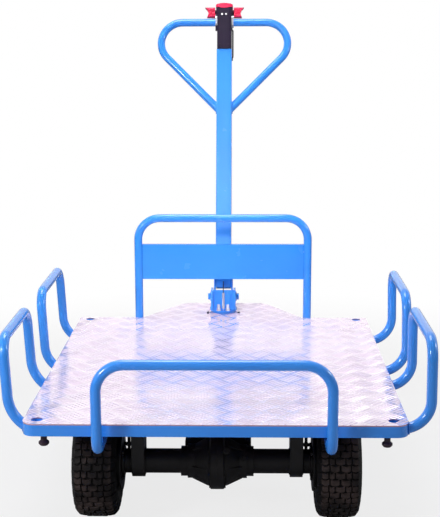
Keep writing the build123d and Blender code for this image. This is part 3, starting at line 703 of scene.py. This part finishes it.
coat(black_paint, "controller")
low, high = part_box("controller")
GLAND = [(0.0095, -0.001), (0.0095, 0.004), (0.0075, 0.005), (0.0075, 0.014), (0.005, 0.016), (0.005, 0.010)]
GLAND_DROP = 0.022
SCREW_INSET = 0.012
controls = Shape()
for along in (0.03, 0.10):
    spot = Vector((low.x, low.y + along, high.z - GLAND_DROP))
    controls.lathe(GLAND, facing(spot, (-1, 0, 0)), 32)
for x in (SCREW_INSET, high.x - low.x - SCREW_INSET):
    for z in (-0.010, -0.040):
        spot = Vector((low.x + x, low.y, high.z + z))
        hex_bolt(controls, facing(spot, (0, -1, 0)), 0.008, 0.005)
        hex_bolt(controls, facing(spot + Vector((0, high.y - low.y, 0)), (0, 1, 0)), 0.008, 0.005)
controls.make("controller_fittings", black_paint, "chassis")


# Battery and its tray
# Folded steel tray, blue, with two pressed ribs round its walls and the moulded battery inside.
# Four bolted angles hang it from the bearers.

black_plastic = Finish("black_plastic", Specular_IOR_Level=0.3)
black_plastic.surface(
    Base_Color=black_plastic.mix(black_plastic.noise(30.0), colour(10, 9, 12), colour(22, 20, 25)),
    Roughness=black_plastic.noise(60.0) * 0.2 + 0.42,
    Normal=black_plastic.bump(black_plastic.noise(700.0), 0.0002, 0.4))
bright_steel = Finish("bright_steel", Metallic=0.6)
zinc = bright_steel.mix(bright_steel.noise(80.0), colour(226, 230, 244), colour(246, 248, 254))
bright_steel.surface(Base_Color=zinc,
                     Roughness=bright_steel.noise(200.0) * 0.15 + 0.15,
                     Normal=bright_steel.bump(bright_steel.noise(500.0), 0.0001, 0.3))
coat(blue_paint, "battery_tray")
coat(black_plastic, "battery")
low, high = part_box("battery_tray")
BEARER_X = 0.2
ANGLE_HALF, ANGLE_LEG, ANGLE_SHEET = 0.016, 0.034, 0.003
BOLT_OUT = 0.020
WALL_RIB_HALF, WALL_RIB_OUT = 0.004, 0.0022
angles = Shape()
fixings = Shape()
for side in (-1, 1):
    for edge, out in ((low.y, -1), (high.y, 1)):
        middle = Vector((DECK_MIDDLE + side * BEARER_X, edge, high.z))
        place = Matrix.Translation(middle) @ Matrix.Diagonal((1, out, 1, 1))
        angles.block((-ANGLE_HALF, 0.0, -ANGLE_LEG), (ANGLE_HALF, ANGLE_SHEET, 0.0), place, 0.0008)
        angles.block((-ANGLE_HALF, 0.0, -ANGLE_SHEET), (ANGLE_HALF, ANGLE_LEG, 0.0), place, 0.0008)
        upper, lower = Vector((0, BOLT_OUT * out, -ANGLE_SHEET)), Vector((0, ANGLE_SHEET * out, -BOLT_OUT))
        hex_bolt(fixings, facing(middle + upper, (0, 0, -1)), 0.013, 0.007)
        hex_bolt(fixings, facing(middle + lower, (0, out, 0)), 0.013, 0.007)
width, length = high.x - low.x - WALL_RIB_HALF, high.y - low.y - WALL_RIB_HALF
for z in (low.z + 0.030, high.z - 0.040):
    for edge, out in ((low, -1), (high, 1)):
        place = Matrix.Translation((edge.x, low.y, z)) @ Matrix.Diagonal((out, 1, 1, 1))
        angles.block((0.0, WALL_RIB_HALF, -WALL_RIB_HALF), (WALL_RIB_OUT, length, WALL_RIB_HALF), place,
                     0.0009)
        place = Matrix.Translation((low.x, edge.y, z)) @ Matrix.Diagonal((1, out, 1, 1))
        angles.block((WALL_RIB_HALF, 0.0, -WALL_RIB_HALF), (width, WALL_RIB_OUT, WALL_RIB_HALF), place,
                     0.0009)
angles.make("battery_tray_angles", blue_paint, "chassis")
fixings.make("battery_tray_bolts", bright_steel, "chassis")


# Steering head and turntable
# The head's ring is bolted under the nose, and the turning ring below it stands on the front beam.
# The king pin's flange turns just above the deck and carries the tiller's bracket.

coat(blue_paint, "turntable", "king_pin")
coat(black_paint, "front_axle")
# Dark bluish steel for the bolts; on the spring's hook this dark colour is painted shade, the headboard
# plate's shadow over the fork.
dark_steel_and_painted_shade = Finish("dark_steel_and_painted_shade", Metallic=0.6)
dark_steel_and_painted_shade.surface(Base_Color=dark_steel_and_painted_shade.mix(dark_steel_and_painted_shade.noise(90.0), colour(30, 28, 58), colour(52, 50, 84)),
                   Roughness=dark_steel_and_painted_shade.noise(200.0) * 0.2 + 0.3)
NUT_RING, HEAD_TOP, RING_BOTTOM = 0.078, 0.272, 0.247
NOSE_SCREW_X, NOSE_SCREW_ALONG = 0.049, 1.060
head_bolts = Shape()
ring_bolts = Shape()
for step in circle(NUT_RING, 0, 6, pi / 6):
    hex_bolt(head_bolts, facing(at(step.x, STEER + step.y, HEAD_TOP), (0, 0, 1)), 0.013, 0.008)
    hex_bolt(ring_bolts, facing(at(step.x, STEER + step.y, RING_BOTTOM), (0, 0, -1)), 0.013, 0.008)
for side in (-1, 1):
    spot = facing(at(side * NOSE_SCREW_X, NOSE_SCREW_ALONG, DECK_TOP), (0, 0, 1))
    hex_bolt(head_bolts, spot, 0.0075, 0.0045, False)
head_bolts.make("steering_head_bolts", dark_steel_and_painted_shade, "chassis")
ring_bolts.make("turntable_bolts", dark_steel_and_painted_shade, "front_bogie")
NIPPLE = [(0.0035, 0.0), (0.0035, 0.004), (0.002, 0.005), (0.0026, 0.007), (0.0018, 0.009), (0.0005, 0.0095)]
NIPPLE_OUT, NIPPLE_HEIGHT = 0.090, 0.267
grease = Shape()
grease.lathe(NIPPLE, facing(at(0, STEER + NIPPLE_OUT, NIPPLE_HEIGHT), (0, 1, 0)), 20)
grease.make("grease_nipple", bright_steel, "chassis")

BEAM_TOP = 0.165
CHEEK_X, CHEEK_HALF = 0.050, 0.004
seams = Shape()
for side in (-1, 1):
    for offset in (-CHEEK_HALF, CHEEK_HALF):
        x = side * CHEEK_X + offset
        level_seam(seams, x, STEER - 0.029, x, STEER + 0.029, BEAM_TOP)
        level_seam(seams, x, STEER - 0.068, x, STEER + 0.068, RING_BOTTOM, 0.005)
    for along in (STEER - 0.031, STEER + 0.031):
        level_seam(seams, side * CHEEK_X - 0.003, along, side * CHEEK_X + 0.003, along, BEAM_TOP, 0.005)
seams.make("turntable_welds", blue_paint, "front_bogie")
BEAM_SEAM = 0.0135
END_COLLAR = [(0.0128, 0.010), (0.019, 0.011), (0.019, 0.014), (0.0128, 0.015)]
beam_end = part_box("front_tyre_right")[0].x - DECK_MIDDLE - 0.022
seams = Shape()
for side in (-1, 1):
    spot = at(side * beam_end, STEER, AXLE_HEIGHT)
    weld(seams, around(spot, (side, 0, 0), BEAM_SEAM), 0.006, True)
    seams.lathe(END_COLLAR, facing(spot, (side, 0, 0)), 36, ring=True)
seams.make("front_beam_fittings", black_paint, "front_bogie")


# Wheels
# Pressed black rims, each held by five nuts, with ten low ribs and a rubber valve in its disc.
# A pinned nut keeps each front wheel on its spindle, and the rear hubs have dust caps.

NUTS, NUT_CIRCLE, NUT_FACE = 5, 0.0352, 0.008
STUD = [(0.0038, 0.006), (0.0038, 0.0105), (0.003, 0.0112)]
SPINDLE_NUT, SPINDLE_FACE = 0.034, 0.026
PIN_REACH, PIN_FACE, PIN_WIDTH = 0.021, 0.036, 0.0028
DUST_CAP = [(0.0225, 0.025), (0.0225, 0.028), (0.0205, 0.029), (0.0195, 0.036), (0.014, 0.0395),
            (0.0005, 0.0405)]
VALVE = (  # distance from the hub's middle, distance out, width
    (0.050, 0.004, 0.012), (0.050, 0.014, 0.009), (0.0505, 0.024, 0.0065), (0.051, 0.0242, 0.0078),
    (0.0515, 0.034, 0.0072))
DISC_RIBS, RIB_LOW, RIB_HIGH = 10, (0.0415, -0.0035, 0.0045), (0.0575, 0.0035, 0.0115)
WHEELS = [(end, word, side) for end in ("rear", "front") for word, side in (("left", -1), ("right", 1))]
for end, word, side in WHEELS:
    body = f"{end}_{word}_wheel"
    coat(black_paint, f"{end}_rim_{word}")
    low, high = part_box(f"{end}_tyre_{word}")
    place = facing((low + high) / 2, (side, 0, 0))
    nuts = Shape()
    for k in range(NUTS):
        spot = turned(place, k, NUTS) @ Matrix.Translation((NUT_CIRCLE, 0, NUT_FACE))
        hex_bolt(nuts, spot, 0.011, 0.0078)
        nuts.lathe(STUD, spot, 20)
    if end == "front":
        hex_bolt(nuts, place @ Matrix.Translation((0, 0, SPINDLE_FACE)), SPINDLE_NUT, 0.013)
        nuts.pipe([Vector((-PIN_REACH, 0, PIN_FACE)), Vector((PIN_REACH, 0, PIN_FACE))],
                  (PIN_WIDTH, PIN_WIDTH), 10, place)
    nuts.make(f"{body}_nuts", bright_steel, body)
    caps = Shape()
    if end == "rear":
        caps.lathe(DUST_CAP, place, 48)
    caps.pipe([Vector((x, 0, z)) for x, z, width in VALVE], [width for x, z, width in VALVE], 14,
              turned(place, 0.5, NUTS))
    for k in range(DISC_RIBS):
        caps.block(RIB_LOW, RIB_HIGH, turned(place, k, DISC_RIBS, 0.5), 0.0018)
    caps.make(f"{body}_fittings", black_plastic, body)


# Tyres
# Low pressure tyres of black rubber, dusty on the blocks that meet the ground.
# Rows of bowed blocks stand staggered round the tread, and every other row has a lug down its shoulder.

tyre_rubber = Finish("tyre_rubber", Specular_IOR_Level=0.2)
worn = tyre_rubber.noise(22.0, 4.0).step(0.35, 0.7)
on_block = tyre_rubber.node("Attribute", {"attribute_name": "tread"}, {}, "Fac")
bare = tyre_rubber.mix(tyre_rubber.noise(14.0, 4.0), colour(4, 3, 5), colour(12, 10, 12))
dusty = tyre_rubber.mix(worn, colour(17, 13, 14), colour(64, 53, 51))
tyre_rubber.surface(
    Base_Color=tyre_rubber.mix(on_block, bare, dusty),
    Roughness=tyre_rubber.noise(40.0) * 0.2 + 0.55,
    Normal=tyre_rubber.bump(tyre_rubber.noise(500.0), 0.0003, 0.5))

CROWN = (  # distance from the tyre's middle, outer radius
    (0.0, 0.140), (0.022, 0.140), (0.043, 0.136), (0.052, 0.126), (0.0548, 0.110), (0.0542, 0.1015),
    (0.055, 0.1005), (0.055, 0.0985), (0.0538, 0.0975), (0.0525, 0.092), (0.0487, 0.0845), (0.0492, 0.0835),
    (0.0480, 0.0815), (0.0468, 0.0812), (0.042, 0.077), (0.0365, 0.0755), (0.0365, 0.066))
ROWS = 50
TREAD_DEPTH = 0.0052
BLOCK_LENGTH = 0.0136
BOW = 0.0034
EVEN_ROW = ((0.0, 0.0225), (-0.0203, 0.0122), (0.0203, 0.0122), (-0.0375, 0.016), (0.0375, 0.016))
ODD_ROW = ((-0.0133, 0.0214), (0.0133, 0.0214), (-0.036, 0.018), (0.036, 0.018))
LUG = ((0.0445, 0.1352, 0.0058), (0.0515, 0.1265, 0.005), (0.0546, 0.113, 0.0038))  # out, radius, half width
LUG_EDGES = ((0.004, -1.15), (0.0, -0.85), (0.0, 0.85), (0.004, 1.15))  # sink, share of the half width


def crown(x):
    """Outer radius of the tread at a distance from the tyre's middle."""
    for (x0, r0), (x1, r1) in zip(CROWN, CROWN[1:4]):
        if abs(x) <= x1:
            return r0 + (r1 - r0) * (abs(x) - x0) / (x1 - x0)
    return CROWN[3][1]


def tread_block(shape, x, width, turn, place):
    """One block, bowed along the tread, with a bevelled top and sides that spread to the carcass."""
    steps = [k / 6 - 0.5 for k in range(7)]
    outline = [(step, -0.5) for step in steps] + [(step, 0.5) for step in reversed(steps)]
    loops = []
    for sink, grow in ((TREAD_DEPTH + 0.002, 1.07), (0.0009, 1.0), (0.0, 0.9)):
        loop = []
        for across, end in outline:
            px = x + across * width * grow
            radius = crown(px) - sink
            along = end * BLOCK_LENGTH * grow + BOW * (1 - 4 * across * across)
            angle = turn + along / CROWN[0][1]
            loop.append((radius * cos(angle), radius * sin(angle), px))
        loops.append(loop)
    shape.skin(loops, place)


def shoulder_lug(shape, side, turn, place):
    """Lug that wraps from the tread's edge down on to the side wall."""
    loops = []
    for x, radius, half in LUG:
        loop = []
        for sink, share in LUG_EDGES:
            r = radius - sink
            angle = turn + share * half / r
            loop.append((r * cos(angle), r * sin(angle), side * (x - sink * 0.4)))
        loops.append(loop)
    shape.skin(loops, place)


for end, word, side in WHEELS:
    low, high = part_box(f"{end}_tyre_{word}")
    place = facing((low + high) / 2, (1, 0, 0))
    carcass = Shape()
    inner = [(r - TREAD_DEPTH if r > 0.12 else r, x) for x, r in CROWN]
    carcass.lathe([(r, -x) for r, x in reversed(inner)] + [(r, x) for r, x in inner[1:]],
                  place, 96, ring=True)
    start = len(carcass.points)
    for row in range(ROWS):
        turn = 2 * pi * row / ROWS
        for x, width in ODD_ROW if row % 2 else EVEN_ROW:
            tread_block(carcass, x, width, turn, place)
    stop = len(carcass.points)
    for row in range(0, ROWS, 2):
        for edge in (-1, 1):
            shoulder_lug(carcass, edge, 2 * pi * row / ROWS, place)
    piece = carcass.make(f"{end}_tyre_{word}_tread", tyre_rubber, f"{end}_{word}_wheel", 30)
    mask = piece.data.attributes.new("tread", "FLOAT", "POINT")
    for k in range(start, stop):
        mask.data[k].value = 1.0
    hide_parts(f"{end}_tyre_{word}")


# Tiller's bracket and return spring
# Thick cheeks and a web of blue plate on the king pin's flange, with the tilt pin through the cheeks.
# A coil spring is hooked over the web to a lug on the post, and pulls the tiller up when it is let go.

coat(blue_paint, "tiller_bracket", "tilt_pin")
low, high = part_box("tilt_pin")
PIVOT = (low + high) / 2
LEAN = radians(18)
UP = Vector((0, sin(LEAN), cos(LEAN)))
OUT = Vector((0, -cos(LEAN), sin(LEAN)))


def on_tiller(x, up, out):
    """Point on the tiller: across, up along the post from the tilt pin, and out to the rear."""
    return PIVOT + Vector((x, 0, 0)) + UP * up + OUT * out


FLANGE_TOP = pin_high.z
CHEEK_SIDE, CHEEK_REAR, CHEEK_FRONT = 0.0395, STEER - 0.034, STEER + 0.016
WEB_REAR = STEER - 0.036
EDGE_FOOT = FLANGE_TOP + 0.004
pin_half = (high.x - low.x) / 2
seams = Shape()
for side in (-1, 1):
    x = side * CHEEK_SIDE
    level_seam(seams, x, CHEEK_REAR, x, CHEEK_FRONT, FLANGE_TOP)
    level_seam(seams, x * 0.1, WEB_REAR, x * 0.97, WEB_REAR, FLANGE_TOP, 0.005)
    pin_end = Vector((PIVOT.x + side * pin_half, PIVOT.y, PIVOT.z))
    hex_bolt(seams, facing(pin_end, (side, 0, 0)), 0.019, 0.007, False)
for side in (-1, 1):
    edge = at(side * 0.0355, STEER - 0.0395, EDGE_FOOT)
    seams.block((-0.004, -0.004, 0.0), (0.004, 0.004, 0.058), Matrix.Translation(edge), 0.0014)
    rib = at(side * 0.0225, STEER - 0.0375, EDGE_FOOT)
    seams.block((-0.0018, -0.003, 0.0), (0.0018, 0.003, 0.050), Matrix.Translation(rib), 0.0008)
seams.make("bracket_edges", blue_paint, "front_bogie")
STUD_X, STUD_ALONG = 0.0145, STEER - 0.0415
STUD_END = [(0.0046, 0.007), (0.0046, 0.0185), (0.0038, 0.020)]
studs = Shape()
for x in (-STUD_X, STUD_X):
    place = facing(at(x, STUD_ALONG, FLANGE_TOP), (0, 0, 1))
    hex_bolt(studs, place, 0.0105, 0.009)
    studs.lathe(STUD_END, place, 20)
studs.make("bracket_studs", bright_steel, "front_bogie")

COIL_TURNS, COIL_POINTS = 26, 12
COIL_RADIUS, COIL_WIRE, HOOK_WIRE = 0.0036, 0.0017, 0.0026
low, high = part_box("return_spring")
foot = Vector(((low.x + high.x) / 2, (low.y + high.y) / 2, low.z))
COIL_FOOT, COIL_TOP = 0.007, high.z - low.z - 0.004
wire = [foot, foot + Vector((0, 0, COIL_FOOT / 2))]
for k in range(COIL_TURNS * COIL_POINTS + 1):
    step = circle(COIL_RADIUS, 0, COIL_POINTS)[k % COIL_POINTS]
    rise = COIL_FOOT + (COIL_TOP - COIL_FOOT) * k / (COIL_TURNS * COIL_POINTS)
    wire.append(foot + Vector((step.x, step.y, rise)))
spring = Shape()
spring.pipe(wire, [COIL_WIRE] * len(wire), 8)
coil = spring.make("return_spring_coil", bright_steel)
hook_foot = foot + Vector((0, 0, COIL_TOP - 0.004))
hook_eye = on_tiller(0, 0.040, 0.0385)
hook = Shape()
reach = [hook_foot, hook_foot + Vector((0, 0.001, 0.008)),
         hook_foot.lerp(hook_eye, 0.6) + Vector((0, -0.004, 0)), hook_eye + Vector((0, -0.004, -0.002)),
         hook_eye + Vector((0, 0, 0.004)), hook_eye + Vector((0, 0.006, 0.001))]
hook.pipe(reach, [HOOK_WIRE] * len(reach), 12)
# The hook's dark colour is painted shade, where the headboard plate's shadow falls over the fork.
hook_piece = hook.make("return_spring_hook", dark_steel_and_painted_shade)
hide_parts("return_spring")
for piece in (coil, hook_piece):
    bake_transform(piece)


# Tiller
# Square post of blue tube, held at its foot between the two plates of the fork, which turn on the pin.
# The closed handle of bent tube is welded to the post.

coat(blue_paint, "tiller_fork", "tiller_post", "handle_loop")
LOOP_FOOT, LOOP_JOINT, LOOP_STRETCH = 0.0254, 0.6226, 1.43
FORK_SEAM, FORK_LOW, FORK_HIGH, FORK_TOP = 0.0262, 0.032, 0.110, 0.112
seams = Shape()
for side in (-1, 1):
    seam = []
    for step in circle(TUBE_SEAM, 0, 90):
        seam.append(on_tiller(side * LOOP_FOOT, LOOP_JOINT + step.y * LOOP_STRETCH, step.x))
    weld(seams, seam, 0.005, True)
    x = side * FORK_SEAM
    for out in (-0.025, 0.025):
        weld(seams, line(on_tiller(x, FORK_LOW, out), on_tiller(x, FORK_HIGH, out)), 0.0045)
    weld(seams, line(on_tiller(x, FORK_TOP, -0.022), on_tiller(x, FORK_TOP, 0.022)), 0.0045)
seams.make("tiller_welds", blue_paint, "tiller")


# Clamps
# Bright pressed plates that grip the handle bar on both sides of the head.
# Four low round heads of screws stand on each side.

coat(bright_steel, "head_clamps")
SCREW_FACE, SCREW_OUT, SCREW_UPS = 0.0295, 0.012, (0.900, 0.926)
SCREW_HEAD = [(0.0036, -0.0005), (0.0036, 0.0003), (0.0028, 0.0009), (0.0005, 0.001)]
screws = Shape()
for side in (-1, 1):
    for out in (-SCREW_OUT, SCREW_OUT):
        for up in SCREW_UPS:
            screws.lathe(SCREW_HEAD, facing(on_tiller(side * SCREW_FACE, up, out), (side, 0, 0)), 20)
screws.make("clamp_screws", bright_steel, "tiller")


# Control head
# Moulded head of dark plastic on the post, with two white plugs and a small light to the rear.
# The red button stops the truck when it is pushed, and red thumb levers on both sides set its speed.

head_plastic = Finish("head_plastic", Specular_IOR_Level=0.3)
head_colour = head_plastic.mix(head_plastic.noise(24.0), colour(26, 16, 40), colour(38, 24, 50))
head_plastic.surface(Base_Color=head_colour,
                     Roughness=head_plastic.noise(70.0) * 0.15 + 0.42,
                     Normal=head_plastic.bump(head_plastic.noise(800.0), 0.00015, 0.4,
                                              head_plastic.soft_edges(0.002)))
red_plastic = Finish("red_plastic", Coat_Weight=0.2, Specular_IOR_Level=0.5)
red_colour = red_plastic.mix(red_plastic.noise(40.0), colour(246, 34, 92), colour(234, 26, 78))
red_plastic.surface(Base_Color=red_colour,
                    Roughness=red_plastic.noise(90.0) * 0.12 + 0.3,
                    Normal=red_plastic.bump(red_plastic.noise(700.0), 0.0001, 0.3,
                                            red_plastic.soft_edges(0.0015)))
white_plastic = Finish("white_plastic", Base_Color=colour(252, 250, 252))
white_plastic.surface(Roughness=white_plastic.noise(60.0) * 0.1 + 0.3)
coat(head_plastic, "control_head")
coat(black_plastic, "control_cable")
coat(red_plastic, "cap_button", "throttle_left", "throttle_right")
PLUG = [(0.0033, -0.001), (0.0033, 0.0006), (0.0026, 0.0014), (0.0005, 0.0017)]
LIGHT = [(0.0022, -0.003), (0.0022, 0.0006), (0.0005, 0.0012)]
plugs = Shape()
for x in (-0.0075, 0.0055):
    plugs.lathe(PLUG, facing(on_tiller(x, 0.9305, 0.029), OUT), 28)
plugs.lathe(LIGHT, facing(on_tiller(-0.0015, 0.9505, 0.0252), OUT), 24)
plugs.make("head_plugs", white_plastic, "tiller")
COVER_SCREW = [(0.0042, 0.0), (0.0042, 0.0011), (0.0035, 0.0018), (0.0005, 0.0018)]
COVER_OUT, COVER_UP, COVER_X = 0.0287625, 0.826, 0.015
RIDGE_X, RIDGE_LOW, RIDGE_HIGH, RIDGE_WIDTH = 0.0236, 0.817, 0.893, 0.0016
ridges = Shape()
for side in (-1, 1):
    for out in (-1, 1):
        place = facing(on_tiller(side * COVER_X, COVER_UP, out * COVER_OUT), OUT * out)
        ridges.lathe(COVER_SCREW, place, 24)
    ridges.pipe([on_tiller(side * RIDGE_X, RIDGE_LOW, 0.0), on_tiller(side * RIDGE_X, RIDGE_HIGH, 0.0)],
                (RIDGE_WIDTH, RIDGE_WIDTH), 8)
ridges.make("head_ridges", head_plastic, "tiller")
GROMMET = [(0.0048, -0.0012), (0.0048, 0.0012), (0.0036, 0.0026)]
grommets = Shape()
for x, up in ((0.0255, 0.783), (0.0238, 0.8865)):
    grommets.lathe(GROMMET, facing(on_tiller(x, up, 0.008), (1, 0, 0)), 24)
grommets.make("cable_grommets", black_plastic, "tiller")
GRIPS, GRIP_START, GRIP_PITCH = 5, 0.933, 0.0055
GRIP_INSIDE, GRIP_OUTSIDE, GRIP_FACE, GRIP_WIDTH = 0.036, 0.0505, 0.0102, 0.0026
grips = Shape()
for side in (-1, 1):
    for k in range(GRIPS):
        up = GRIP_START + GRIP_PITCH * k
        for out in (-GRIP_FACE, GRIP_FACE):
            grips.pipe([on_tiller(side * GRIP_INSIDE, up, out), on_tiller(side * GRIP_OUTSIDE, up, out)],
                       (GRIP_WIDTH, GRIP_WIDTH), 8)
grips.make("throttle_grips", red_plastic, "tiller")
